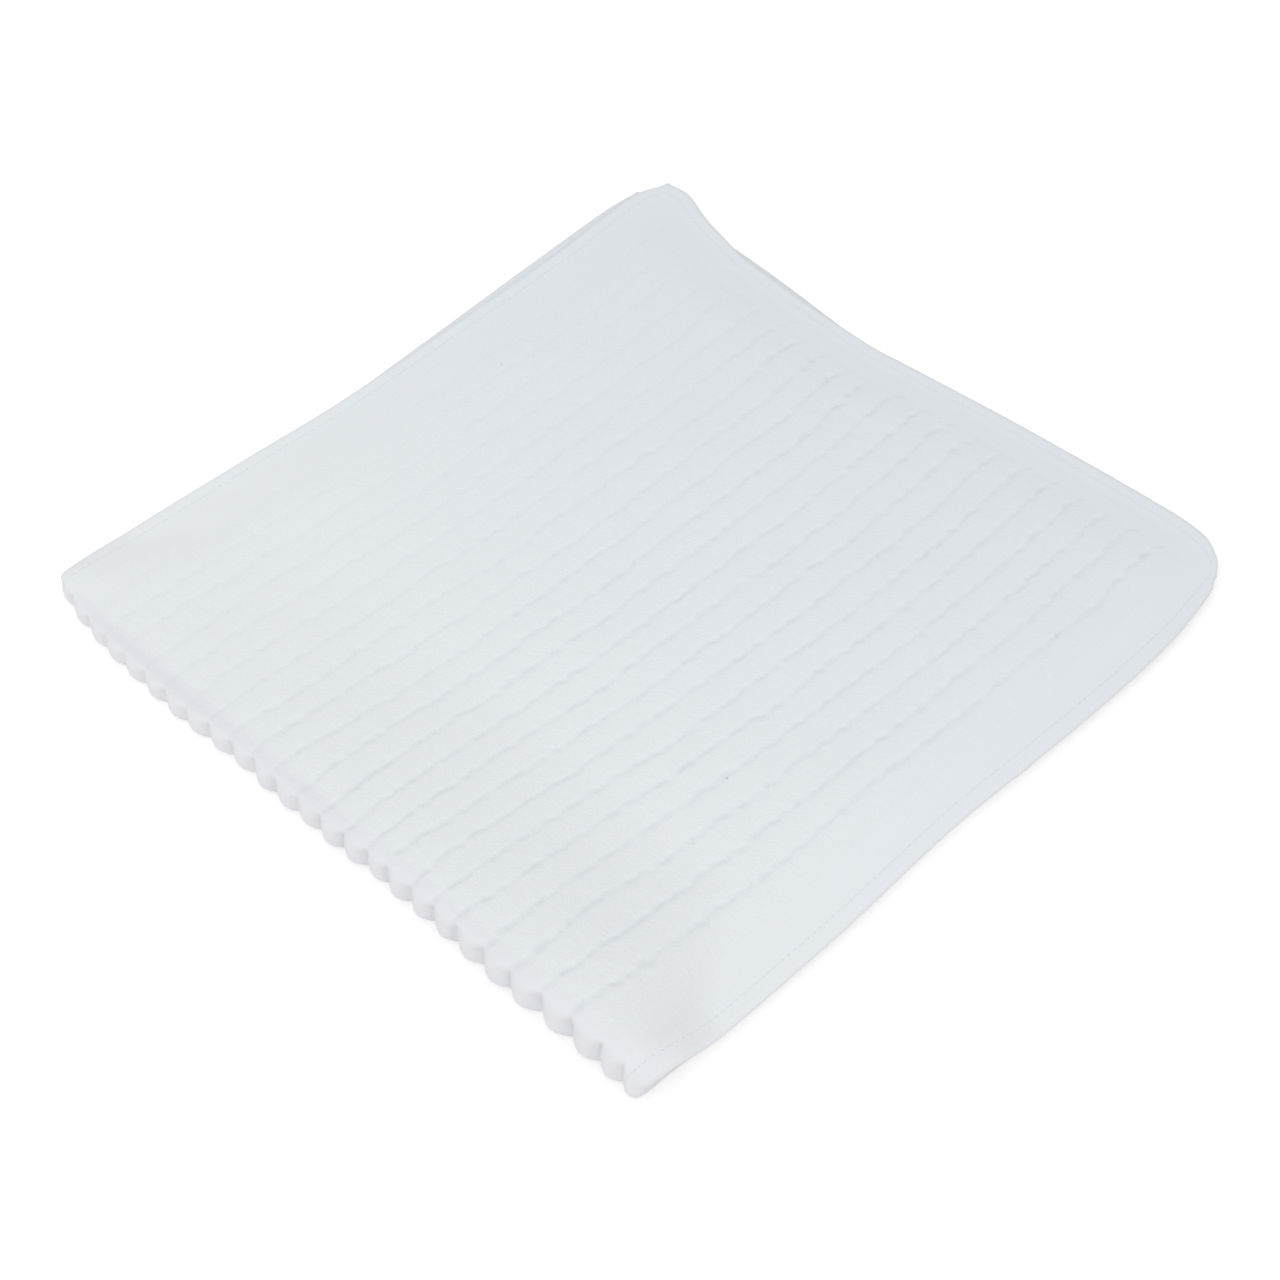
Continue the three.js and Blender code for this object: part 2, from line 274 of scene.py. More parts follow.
class Leaf:
    def __init__(self, name, side, length):
        self.name = name
        self.body = name + "_leaf"
        self.side = side                      # 1 for the upper leaf, -1 for the lower
        self.length = length
        self.left = edges[name + "Left"]
        self.right = edges[name + "Right"]
        self.end = edges[name + "End"]

    def plan(self, s, along):
        # the place of a cloth point, seen from above
        across = s / cloth["width"]
        share = along / self.length
        half = cloth["width"] / 2
        left = -half - cloth["sideStray"] * self.left(share)
        right = half + cloth["sideStray"] * self.right(share)
        drift = ribs["drift"] * driftAcross(across) * driftAlong(share)
        x = mix(left, right, across) - drift + self.lean(s, along)
        back = self.length + cloth["endStray"] * self.end(across)
        return x, mix(foldLineY(x), back, share)

    def lay(self, s, along, depth):
        # the place of a point at a depth below this leaf's outer face
        x, y = self.plan(s, along)
        top = upperTopZ(x, y - foldLineY(x), s, self.length - along)
        depth += self.tuck(x, s, along, top)
        z = top - depth if self.side > 0 else max(depth, 0)
        return Vector((x + middleX, y + middleY, z))

    def tuck(self, x, s, along, top):
        # near the fold the leaves' edges turn towards each other and shut the selvedge
        edge = min(s, cloth["width"] - s)
        reach = fold["closeUpper"] if self.side > 0 else fold["closeLower"]
        if edge >= reach:
            return 0
        thickness = hemThickness * pressed(along)
        behind = ease(along, fold["strip"], fold["closedUpTo"])
        meeting = mix(foldLineZ(x), thickness + cloth["leafGap"] / 2, behind)
        gap = mix(fold["closeGap"], cloth["leafGap"] / 2, behind)
        between = top - meeting if self.side > 0 else meeting
        room = between - gap - thickness
        turned = max(room, 0) * (1 - edge / reach) ** 2
        if edge < hemRadius:
            turned += (1 - behind) * thickness / 2 * (1 - edge / hemRadius) ** 2
        return turned

    def lean(self, s, along):
        # there the lower leaf's edge stands a little further in, under the upper one
        edge = min(s, cloth["width"] - s)
        if self.side > 0 or edge >= fold["closeLower"]:
            return 0
        near = ease(along, 0, fold["closeRise"])
        near *= 1 - ease(along, fold["strip"], fold["closedUpTo"])
        inward = fold["closeLean"] * near * (1 - edge / fold["closeLower"]) ** 2
        return inward if s < cloth["width"] / 2 else -inward

    def alongAt(self, s, x, y):
        # the distance along the leaf at which plan() gives that y
        back = self.length + cloth["endStray"] * self.end(s / cloth["width"])
        return self.length * (y - foldLineY(x)) / (back - foldLineY(x))


leaves = {
    "lower": Leaf("lower", -1, cloth["lowerLength"]),
    "upper": Leaf("upper", 1, cloth["upperLength"]),
}


# The cloth's own relief, as depths below a face

def pressed(along):
    return mix(fold["pressed"], 1, ease(along, fold["pressedUpTo"], fold["fullFrom"]))


# a groove's strength is a share of its full depth; places are shares across and along the cloth
grooves = {
    "leftShare": 0.15,
    "across": (0.1, 0.6),       # from there they grow to full ones
    "farMore": 0.6,             # added towards the far end, in the middle
    "farAlong": (0.75, 0.9),
    "farFrom": (0.15, 0.4),
    "farTo": (0.5, 0.8),
    "lastMore": 0.3,            # added just before the end border
    "lastAlong": (0.88, 0.92),
    "lastFrom": (0.2, 0.5),
    "foldMore": 0.3,            # added beside the fold
    "foldAlong": 0.2,
    "foldFade": 0.15,
    "sideShare": 0.3,           # what is left of them beside the side borders
    "sideFade": (1 * mm, 7 * mm),
    "breaks": {"weight": 0.8, "size": 26 * mm, "seed": 3.7},
    "beads": {"weight": 1.5, "size": 4.2 * mm, "seed": 8.2},
}


def grooveStrength(s, v):
    # grooves are faint and broken on the left and clear on the right
    across = s / cloth["width"]
    along = abs(v) / cloth["upperLength"]
    strength = mix(grooves["leftShare"], 1, ease(across, *grooves["across"]))
    middle = ease(across, *grooves["farFrom"]) * (1 - ease(across, *grooves["farTo"]))
    strength += grooves["farMore"] * ease(along, *grooves["farAlong"]) * middle
    last = ease(along, *grooves["lastAlong"]) * ease(across, *grooves["lastFrom"])
    strength += grooves["lastMore"] * last
    strength += grooves["foldMore"] * ease(grooves["foldAlong"] - along, 0, grooves["foldFade"])
    fromSide = min(s - fieldStart, fieldEnd - s)
    strength *= mix(grooves["sideShare"], 1, ease(fromSide, *grooves["sideFade"]))
    broken = wave(s, v, grooves["breaks"]) + wave(s, v, grooves["beads"])
    return max(strength * (1 + broken), 0)


def pileAt(s, along, length):
    # 1 on the ribbed pile and 0 on the plain borders; each rib has a rounded end
    side = min(s - fieldStart, fieldEnd - s)
    place = (s - fieldStart) / ribPitch
    fromRib = place - math.floor(place) - 0.5
    roundEnd = ribs["endRound"] * (2 * fromRib) ** 2
    step, *seed = ribs["endSeed"]
    roundEnd += ribs["endStray"] * (1 + noise.noise((math.floor(place) * step, *seed)))
    toEnd = length - cloth["endBorder"] - along - roundEnd
    return ease(side, 0, ribs["pileEdge"]) * ease(toEnd, 0, ribs["endSlope"])


def borderLevel(along, length):
    # how far the plain borders lie below the pile
    fromEnd = length - along - cloth["endBorder"]
    return mix(ribs["endStep"], ribs["sideStep"], ease(fromEnd, 0, ribs["endStepReach"]))


def notchDepth(s):
    # how far the fold's front stands back at its notches, one at every groove, between its lobes
    if s < fieldStart:
        pitch, fromStart = cloth["leftBorder"] / ribs["sideLobes"], s
    elif s > fieldEnd:
        pitch, fromStart = cloth["rightBorder"] / ribs["sideLobes"], s - fieldEnd
    else:
        pitch, fromStart = ribPitch, s - fieldStart
    place = fromStart / pitch
    fromGroove = abs(place - round(place))
    notch = mix(ribs["scallopLeft"], ribs["scallopRight"], s / cloth["width"])
    notch *= min(pitch / ribPitch, 1) * (1 - 2 * fromGroove) ** ribs["notchShape"]
    return notch + wave(s, 0, ribs["lobes"])


def relief(s, v, length, front, seed=0):
    # front is 1 at the very front of the fold and 0 in the open cloth
    along = abs(v)
    pile = pileAt(s, along, length)
    place = (s - fieldStart) / ribPitch
    fromGroove = abs(place - round(place))
    across = fromGroove * ribPitch / ribs["grooveHalf"]
    narrow = ribs["groove"] * math.exp(-across * across) * grooveStrength(s, v) if pile else 0
    terryPart = narrow + ribs["crown"] * (1 - 2 * fromGroove) ** 2
    fromSide = min(s, cloth["width"] - s)
    edge = min(fromSide, length - along)
    seam = (edge - hem["seamInset"]) / hem["dentHalf"]
    alongSeam = v if fromSide < length - along else s
    stitched = 1 - hem["pull"] + hem["pull"] * math.cos(2 * math.pi * alongSeam / hem["stitch"])
    dent = hem["dent"] * math.exp(-seam * seam) * stitched
    past = ease(edge, cloth["hemFlap"] - hem["levelBefore"], cloth["hemFlap"] + hem["levelAfter"])
    level = borderLevel(along, length) * past
    near = ease(hem["puckerReach"] - edge, 0, hem["puckerFade"])
    pucker = hem["pucker"] * (1 + ripple(s, v, hem["puckerSize"], hem["puckerSeed"])) * near
    plainPart = dent + level + pucker
    loops = ripple(s, v, ribs["nubSize"], ribs["nubSeed"] + seed)
    tufts = ribs["tuft"] * ripple(s, v, ribs["tuftSize"], ribs["tuftSeed"] + seed)
    nub = ribs["nub"] * (1 + loops + tufts)
    return mix(plainPart, terryPart, pile) * (1 - front) + nub * pile


def fieldThickness(s, v, length):
    along = abs(v)
    side = min(s - fieldStart, fieldEnd - s)
    toEnd = length - cloth["endBorder"] - along
    full = ease(side, 0, ribs["pileEdge"]) * ease(toEnd, 0, ribs["pileEdge"])
    thickness = leafThickness(s, length - along)
    return mix(cloth["plainThickness"], thickness, full) * pressed(along)


wandering = {
    "reach": 1.5 * mm,
    "sideFade": 7 * mm,
    "foldFade": 26 * mm,
    "foldMore": 1.6,            # so much more at the fold
    "slow": {"weight": 1, "across": 2.2, "size": 30 * mm, "seed": 21},
    "quick": {"weight": 0.5, "across": 0.8, "size": 9 * mm, "seed": 31},
    "quicker": {"weight": 0.6, "across": 0.34, "size": 3.8 * mm, "seed": 41},
    "hook": 4.2 * mm,           # how far a rib's end bends to the right
    "hookLength": 8 * mm,
}


def wander(s, v, length):
    # how far a rib strays sideways
    side = ease(min(s - fieldStart, fieldEnd - s), 0, wandering["sideFade"])
    fromFold = ease(abs(v), 0, wandering["foldFade"])
    slow = wave(s, v, wandering["slow"]) * mix(1 + wandering["foldMore"], 1, fromFold)
    quick = wave(s, v, wandering["quick"]) + wave(s, v, wandering["quicker"])
    toEnd = length - cloth["endBorder"] - abs(v)
    bent = max(1 - toEnd / wandering["hookLength"], 0) ** 2
    return side * (wandering["reach"] * (slow + quick * fromFold) + wandering["hook"] * bent)


# Building a piece

def slab(columns, rows, fineOuter):
    # a flat slab, 1 by 1 and 1 thick, whose upper face is the cloth's outer face
    bm = bmesh.new()
    corner = Matrix.Translation((0.5, 0.5, -1))
    bmesh.ops.create_grid(bm, x_segments=columns, y_segments=rows, size=0.5, matrix=corner)
    made = bmesh.ops.extrude_face_region(bm, geom=bm.faces[:])
    raised = [g for g in made["geom"] if isinstance(g, bmesh.types.BMVert)]
    bmesh.ops.translate(bm, verts=raised, vec=(0, 0, 1))
    if fineOuter:
        crossing = [
            e for e in bm.edges
            if abs(e.verts[0].co.y - e.verts[1].co.y) < 1e-7
            and e.verts[0].co.z > -0.5 and e.verts[1].co.z > -0.5
        ]
        bmesh.ops.subdivide_edges(bm, edges=crossing, cuts=1, use_grid_fill=True)
    for f in bm.faces:
        f.smooth = True
    for e in bm.edges:
        upright = [abs(f.normal.z) > 0.5 for f in e.link_faces]
        e.smooth = len(set(upright)) == 1
    return bm


def finishPiece(bm, name, place, material):
    # lays every point of the slab in place and keeps its cloth coordinates for the material
    mapped = []
    for v in bm.verts:
        point, coordinates = place(v.co.x, v.co.y, v.co.z)
        v.co = point
        mapped.extend(coordinates)
    bmesh.ops.recalc_face_normals(bm, faces=bm.faces)
    data = bpy.data.meshes.new(name)
    bm.to_mesh(data)
    bm.free()
    layer = data.attributes.new("clothPlace", "FLOAT_VECTOR", "POINT")
    layer.data.foreach_set("vector", mapped)
    data.materials.append(material)
    piece = bpy.data.objects.new(name, data)
    bpy.context.scene.collection.objects.link(piece)
    return piece


# Materials

cotton = {
    "fibreColour": (0.55, 0.58, 0.615, 1),
    "farShade": 0.4,            # painted shade: the cloth is made a little darker towards its far end
    "farFrom": 20 * mm,
    "farTo": 330 * mm,
    "bentColour": (0.585, 0.585, 0.615, 1),
    "bentShade": 0.45,          # and painted shade, greyer, where the pile is bent over the fold
    "bentFrom": -2 * mm,
    "bentFull": 5 * mm,
    "bentTo": 12 * mm,
    "sheen": 0.1,
    "sheenRoughness": 0.5,
    "grainRoughness": 0.55,
    "fleckCore": 0.4,           # share of a fleck's radius that has its full colour
}

# painted shade, where less light gets out of the grooves
grooveDark = {
    "core": 0.1 * mm,
    "reach": 1.7 * mm,
    "patchSize": 5 * mm,
    "patchFrom": 0.35,
    "patchTo": 0.65,
    "patchLeast": 0.25,
    "leftLeast": 0.3,
    "rightFade": (1 * mm, 7 * mm),
}


class Wire:
    # a number socket that takes part in sums
    def __init__(self, graph, socket):
        self.graph = graph
        self.socket = socket

    def sum(self, operation, first, second):
        return self.graph.node("ShaderNodeMath", {"operation": operation}, [first, second])

    def __add__(self, other):
        return self.sum("ADD", self, other)

    def __sub__(self, other):
        return self.sum("SUBTRACT", self, other)

    def __rsub__(self, other):
        return self.sum("SUBTRACT", other, self)

    def __mul__(self, other):
        return self.sum("MULTIPLY", self, other)


class Graph:
    # a node tree, emptied and built up again
    def __init__(self, tree):
        self.tree = tree
        tree.nodes.clear()

    def node(self, kind, settings=None, values=None, output=0):
        made = self.tree.nodes.new(kind)
        for key, value in (settings or {}).items():
            setattr(made, key, value)
        pairs = values.items() if isinstance(values, dict) else enumerate(values or [])
        for key, value in pairs:
            if isinstance(value, Wire):
                self.tree.links.new(value.socket, made.inputs[key])
            else:
                made.inputs[key].default_value = value
        return Wire(self, made.outputs[output]) if len(made.outputs) else None

    def mixColours(self, factor, first, second):
        settings = {"data_type": "RGBA"}
        return self.node("ShaderNodeMix", settings, {0: factor, 6: first, 7: second}, output=2)

    def between(self, value, low, high):
        # 0 below low, 1 above high and smooth between them
        settings = {"interpolation_type": "SMOOTHSTEP"}
        values = {"Value": value, "From Min": low, "From Max": high}
        return self.node("ShaderNodeMapRange", settings, values)

    def fromCamera(self):
        # 1 for what the camera sees, straight, mirrored or through glass
        rays = [self.node("ShaderNodeLightPath", output=name) for name in
                ("Is Camera Ray", "Is Glossy Ray", "Is Transmission Ray")]
        seen = self.node("ShaderNodeMath", {"operation": "MAXIMUM"}, [rays[0], rays[1]])
        return self.node("ShaderNodeMath", {"operation": "MAXIMUM"}, [seen, rays[2]])


def newMaterial(name):
    material = bpy.data.materials.new(name)
    material.use_nodes = True
    return material, Graph(material.node_tree)


def grain(graph, place, size, detail, stretch=(1, 1, 1)):
    scaled = graph.node("ShaderNodeMapping", {}, {"Vector": place, "Scale": stretch})
    values = {"Vector": scaled, "Scale": 1 / size, "Detail": detail}
    values["Roughness"] = cotton["grainRoughness"]
    return graph.node("ShaderNodeTexNoise", {}, values)


def fabric(name, look):
    material, graph = newMaterial(name)
    place = graph.node("ShaderNodeAttribute", {"attribute_name": "clothPlace"}, output=1)
    slow = grain(graph, place, look["toneSize"], detail=2)
    fine = grain(graph, place, look["fibreSize"], detail=4, stretch=look["fibreStretch"])
    height = look["relief"](graph, place, fine)
    tone = graph.mixColours(slow, look["colour"], look["colourLow"])
    tone = graph.mixColours(fine * look["fibreTone"], tone, cotton["fibreColour"])
    v = graph.node("ShaderNodeSeparateXYZ", {}, [place], output=1)
    fromFold = graph.node("ShaderNodeMath", {"operation": "ABSOLUTE"}, [v])
    # painted shade, growing with the distance from the fold, mixed towards the fibre colour
    far = graph.between(fromFold, cotton["farFrom"], cotton["farTo"])
    tone = graph.mixColours(far * cotton["farShade"], tone, cotton["fibreColour"])
    # painted shade over the fold: a band round the bend is mixed towards a greyer colour
    bent = graph.between(v, cotton["bentFrom"], cotton["bentFull"])
    bent = bent - bent * graph.between(v, cotton["bentFull"], cotton["bentTo"])
    tone = graph.mixColours(bent * cotton["bentShade"], tone, cotton["bentColour"])
    if look["grooveShade"]:
        dark = grooveShade(graph, place) * look["grooveShade"]
        tone = graph.mixColours(dark, tone, look["grooveColour"])
    for fleck in look["flecks"]:
        tone = fleckOn(graph, tone, fleck)
    bump = graph.node("ShaderNodeBump", {}, {
        "Strength": look["bumpStrength"], "Distance": look["bumpHeight"], "Height": height,
    })
    shader = graph.node("ShaderNodeBsdfPrincipled", {}, {
        "Base Color": tone, "Roughness": look["roughness"], "Normal": bump,
        "Sheen Weight": cotton["sheen"], "Sheen Roughness": cotton["sheenRoughness"],
        "Specular IOR Level": look["specular"],
    })
    graph.node("ShaderNodeOutputMaterial", {}, {"Surface": shader})
    return material


def fleckOn(graph, tone, fleck):
    # a tiny bit of cotton husk spun into the yarn
    place = graph.node("ShaderNodeTexCoord", output="Object")
    away = graph.node("ShaderNodeVectorMath", {"operation": "SUBTRACT"}, [place, fleck["at"]])
    flat = graph.node("ShaderNodeVectorMath", {"operation": "MULTIPLY"}, [away, fleck["squeeze"]])
    far = graph.node("ShaderNodeVectorMath", {"operation": "LENGTH"}, [flat], output=1)
    core = fleck["radius"] * cotton["fleckCore"]
    near = 1 - graph.between(far, core, fleck["radius"])
    return graph.mixColours(near * fleck["strength"], tone, fleck["colour"])


def grooveShade(graph, place):
    # 1 down in the grooves, patchy, and weaker on the left
    s = graph.node("ShaderNodeSeparateXYZ", {}, [place], output=0)
    fromGroove = graph.node("ShaderNodeMath", {"operation": "PINGPONG"}, [s - fieldStart, ribPitch / 2])
    line = 1 - graph.between(fromGroove, grooveDark["core"], grooveDark["reach"])
    patches = grain(graph, place, grooveDark["patchSize"], detail=3, stretch=(1, 0.8, 0))
    patchy = graph.between(patches, grooveDark["patchFrom"], grooveDark["patchTo"])
    patchy = patchy * (1 - grooveDark["patchLeast"]) + grooveDark["patchLeast"]
    side = graph.between(s, *[share * cloth["width"] for share in grooves["across"]])
    side = side * (1 - grooveDark["leftLeast"]) + grooveDark["leftLeast"]
    return line * patchy * side * graph.between(fieldEnd - s, *grooveDark["rightFade"])


yarn = {
    "loopSize": 0.95 * mm,
    "loopShare": 0.8,
    "loopFibre": 0.45,
    "weaveSize": 7.5 * mm,      # the threads and plies lie 0.31 of these apart
    "weaveShare": 0.7,
    "weaveFibre": 0.5,
    "plySize": 5 * mm,
    "plyShare": 0.8,
    "plyFibre": 0.2,
}


def loopRelief(graph, place, fine):
    # terry loops, each a small round nub, under loose fibre ends
    loops = graph.node("ShaderNodeTexVoronoi", {"feature": "SMOOTH_F1"}, {
        "Vector": place, "Scale": 1 / yarn["loopSize"], "Smoothness": 0.5, "Randomness": 0.85,
    })
    return (1 - loops) * yarn["loopShare"] + fine * yarn["loopFibre"]


def weaveRelief(graph, place, fine):
    # plain weave: threads over and under one another, both ways
    bands = {
        "Vector": place, "Scale": 1 / yarn["weaveSize"], "Distortion": 0.6, "Detail": 1,
        "Detail Scale": 2,
    }
    across = graph.node("ShaderNodeTexWave", {"bands_direction": "X"}, bands, output=1)
    along = graph.node("ShaderNodeTexWave", {"bands_direction": "Y"}, bands, output=1)
    return across * along * yarn["weaveShare"] + fine * yarn["weaveFibre"]


def twistRelief(graph, place, fine):
    # the plies of a twisted thread
    plies = graph.node("ShaderNodeTexWave", {"bands_direction": "DIAGONAL"}, {
        "Vector": place, "Scale": 1 / yarn["plySize"], "Distortion": 0.3, "Detail": 1,
    }, output=1)
    return plies * yarn["plyShare"] + fine * yarn["plyFibre"]


flecks = [
    {"at": (middleX - 118.1 * mm, middleY + 191.5 * mm, 8.5 * mm), "squeeze": (1, 1.7, 0.2),
     "radius": 0.9 * mm, "strength": 0.55, "colour": (0.6, 0.52, 0.34, 1)},
    {"at": (middleX + 83.9 * mm, middleY + 110.5 * mm, 8.5 * mm), "squeeze": (1, 1.4, 0.2),
     "radius": 0.8 * mm, "strength": 0.6, "colour": (0.3, 0.31, 0.33, 1)},
]
terry = fabric("ribbedTerry", {
    "colour": (0.684, 0.711, 0.732, 1), "colourLow": (0.674, 0.702, 0.724, 1), "toneSize": 60 * mm,
    "fibreSize": 0.8 * mm, "fibreStretch": (1, 1, 1), "fibreTone": 0.05,
    "relief": loopRelief, "bumpStrength": 0.29, "bumpHeight": 0.5 * mm,
    "roughness": 0.95, "specular": 0.2,
    "grooveShade": 0.26, "grooveColour": (0.5, 0.53, 0.56, 1), "flecks": flecks,
})
weave = fabric("plainWeave", {
    "colour": (0.686, 0.713, 0.734, 1), "colourLow": (0.676, 0.704, 0.726, 1), "toneSize": 45 * mm,
    "fibreSize": 0.7 * mm, "fibreStretch": (1, 0.5, 1), "fibreTone": 0.04,
    "relief": weaveRelief, "bumpStrength": 0.25, "bumpHeight": 0.25 * mm,
    "roughness": 0.9, "specular": 0.2,
    "grooveShade": 0, "flecks": [],
})
thread = fabric("sewingThread", {
    "colour": (0.69, 0.716, 0.737, 1), "colourLow": (0.681, 0.708, 0.73, 1), "toneSize": 30 * mm,
    "fibreSize": 0.3 * mm, "fibreStretch": (1, 0.4, 1), "fibreTone": 0.04,
    "relief": twistRelief, "bumpStrength": 0.4, "bumpHeight": 0.1 * mm,
    "roughness": 0.6, "specular": 0.3,
    "grooveShade": 0, "flecks": [],
})
print("materials made")


# Depths of the layers: layer 0 is the outer face of a slab and -1 its inner face

def frontness(leaf, s, along):
    # 1 at the very front of the fold, whose rounded notches run out where the bend ends
    if along > fold["strip"]:
        return 0
    ahead = math.cos(math.pi / 2 * min(along / arcEnd(leaf, s), 1))
    return ahead ** (ribs["notchAbove"] if leaf.side > 0 else ribs["notchBelow"])


def terryDepth(leaf, s, along, layer):
    v = leaf.side * along
    if layer > -0.5:
        return relief(s, v, leaf.length, frontness(leaf, s, along))
    inner = ribs["inner"] * relief(s, v, leaf.length, 0, ribs["innerSeed"])
    return fieldThickness(s, v, leaf.length) - inner


def plainDepth(leaf, s, along, layer):
    depth = -layer * cloth["plainThickness"] * pressed(along)
    if layer > -0.5:
        faceS = min(max(s, hemRadius), cloth["width"] - hemRadius)
        faceAlong = min(along, leaf.length - hemRadius)
        front = frontness(leaf, faceS, faceAlong)
        depth += relief(faceS, leaf.side * faceAlong, leaf.length, front)
    return depth


# The bend itself

def arcEnd(leaf, s):
    # the distance along the cloth at which its bend ends
    x, y = leaf.plan(s, 0)
    return leaf.alongAt(s, x, y + cornerInset(s) + foldLineZ(x))


def layInFold(leaf, s, along, depth):
    # places a point of the fold's strip, round the bend or on the flat behind it
    end = arcEnd(leaf, s)
    if along >= end:
        return leaf.lay(s, along, depth)
    x = leaf.plan(s, along)[0]
    radius = foldLineZ(x)
    height = radius if leaf.side < 0 else foldTopZ(x) - radius
    front = leaf.plan(s, 0)[1] + cornerInset(s) + notchDepth(s) * frontness(leaf, s, along)
    angle = math.pi / 2 * along / end
    power = 2 / fold["squareness"]
    tucked = depth + leaf.tuck(x, s, along, radius + height)
    y = front + radius - (radius - depth) * math.cos(angle) ** power
    z = radius + leaf.side * (height - tucked) * math.sin(angle) ** power
    return Vector((x + middleX, y + middleY, max(z, 0)))


# The ribbed fields

def ribbedField(leaf):
    start = fold["strip"]
    end = leaf.length - cloth["endBorder"]
    columns = cloth["ribs"] * mesh["coarsePerRib"]
    rows = round((end - start) / mesh["fieldRow"])

    def place(across, share, layer):
        s = mix(fieldStart, fieldEnd, across)
        along = mix(start, end, share)
        v = leaf.side * along
        depth = terryDepth(leaf, s, along, layer)
        if leaf.side > 0 and layer > -0.5:
            depth -= wave(s, v, ribs["swell"]) * swellShare(s, along, leaf.length)
        point = leaf.lay(s + wander(s, v, leaf.length), along, depth)
        return point, (s, v, mesh["innerPlace"] * layer)

    piece = finishPiece(slab(columns, rows, leaf.side > 0), leaf.name + "RibbedField", place, terry)
    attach(piece, leaf.body)
    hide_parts(leaf.name + "_ribbed_field")
    return piece


def swellShare(s, along, length):
    side = min(s - fieldStart, fieldEnd - s)
    toEnd = length - cloth["endBorder"] - along
    inside = ease(side, 0, ribs["swellFade"]) * ease(toEnd, 0, ribs["swellFade"])
    return ease(along, fold["strip"], ribs["swellFrom"]) * inside


fields = {name: ribbedField(leaf) for name, leaf in leaves.items()}
print("ribbed fields made")


# Hems: the plain border's outer layer, which turns round the cloth's edge into a flap

def hemWrap(edge, depth, thin):
    # edge is the distance from the cloth's edge, below the turn's radius it runs round and back
    tight = hemRadius * thin
    if edge >= hemRadius:
        return edge, depth
    share = (hemRadius - edge) / turnedStrip
    if share < hem["turnShare"]:
        angle = math.pi * share / hem["turnShare"]
        inward = tight - depth
        return hemRadius - inward * math.sin(angle), tight - inward * math.cos(angle)
    back = (share - hem["turnShare"]) / (1 - hem["turnShare"])
    return mix(hemRadius, cloth["hemFlap"], back), 2 * tight - depth


def wrapSide(leaf, s, along, layer):
    # the place across the cloth and the depth of a point of a side border or its turned edge
    depth = plainDepth(leaf, s, along, layer)
    toEdge = min(s, cloth["width"] - s)
    edge, depth = hemWrap(toEdge, depth, pressed(along))
    return edge if s < cloth["width"] / 2 else cloth["width"] - edge, depth


def hemPoint(leaf, s, along, layer):
    # s may run past a selvedge, and along past the end, into the turned edge
    if leaf.length - along >= hemStart:
        across, depth = wrapSide(leaf, s, along, layer)
        return leaf.lay(across, along, depth)
    depth = plainDepth(leaf, s, along, layer)
    edge, depth = hemWrap(leaf.length - along, depth, 1)
    closing = min(s, cloth["width"] - s) / hemRadius
    if closing < 1:
        depth = hemRadius + (depth - hemRadius) * math.sqrt(max(1 - (1 - closing) ** 2, 0))
    return leaf.lay(s, leaf.length - edge, depth)


def plainPiece(leaf, name, sRange, alongRange, nodes):
    flat = (sRange[1] - sRange[0], alongRange[1] - alongRange[0])
    columns, rows = [round(size / mesh["hemCell"]) for size in flat]

    def place(across, share, layer):
        s = mix(sRange[0], sRange[1], across)
        along = mix(alongRange[0], alongRange[1], share)
        point = hemPoint(leaf, s, along, layer)
        return point, (s, leaf.side * along, mesh["innerPlace"] * layer)

    piece = finishPiece(slab(columns, rows, False), leaf.name + name, place, weave)
    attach(piece, leaf.body)
    if nodes:
        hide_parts(*nodes)
    return piece, flat


for name, leaf in leaves.items():
    sides = (fold["strip"], leaf.length - hemStart)
    plainPiece(leaf, "LeftHem", (-flapReach, fieldStart), sides, [name + "_left_hem"])
    plainPiece(leaf, "RightHem", (fieldEnd, cloth["width"] + flapReach), sides, [name + "_right_hem"])
    plainPiece(leaf, "EndBorder", (fieldStart, fieldEnd),
                   (leaf.length - cloth["endBorder"], leaf.length - hemStart), [])
    plainPiece(leaf, "EndHem", (0, cloth["width"]),
                   (leaf.length - hemStart, leaf.length + flapReach), [name + "_end_hem"])
print("hems made")


# The bend, one piece round the fold from leaf to leaf, with the hems running round it

def bendPiece():
    leftColumns = round((fieldStart + flapReach) / mesh["hemCell"])
    rightColumns = round((cloth["rightBorder"] + flapReach) / mesh["hemCell"])
    ribColumns = 2 * cloth["ribs"] * mesh["coarsePerRib"]
    columns = leftColumns + ribColumns + rightColumns
    rows = mesh["arcRows"] + mesh["stripRows"]

    def unroll(column):
        if column < leftColumns:
            return mix(-flapReach, fieldStart, column / leftColumns)
        if column <= leftColumns + ribColumns:
            return mix(fieldStart, fieldEnd, (column - leftColumns) / ribColumns)
        past = (column - leftColumns - ribColumns) / rightColumns
        return mix(fieldEnd, cloth["width"] + flapReach, past)

    def place(across, rowShare, layer):
        s = unroll(round(across * columns))
        leaf = leaves["upper"] if rowShare >= 0.5 else leaves["lower"]
        part = abs(2 * rowShare - 1) / fold["arcShare"]
        ribbed = fieldStart <= s <= fieldEnd
        edge = s if ribbed else min(max(s, hemRadius), cloth["width"] - hemRadius)
        end = arcEnd(leaf, edge)
        if part < 1:
            along = end * part ** fold["rowEase"]
        else:
            along = mix(end, fold["strip"], (part - 1) / (1 / fold["arcShare"] - 1))
        v = leaf.side * along
        if ribbed:
            depth = terryDepth(leaf, s, along, layer)
            point = layInFold(leaf, s + wander(s, v, leaf.length), along, depth)
        else:
            edge, depth = wrapSide(leaf, s, along, layer)
            point = layInFold(leaf, edge, along, depth)
        return point, (s, v, mesh["innerPlace"] * layer)

    piece = finishPiece(slab(columns, rows, False), "foldBend", place, terry)
    weaveFaces(piece)
    turnWithJoint(piece)
    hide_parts("lower_fold_half", "upper_fold_half")
    return piece


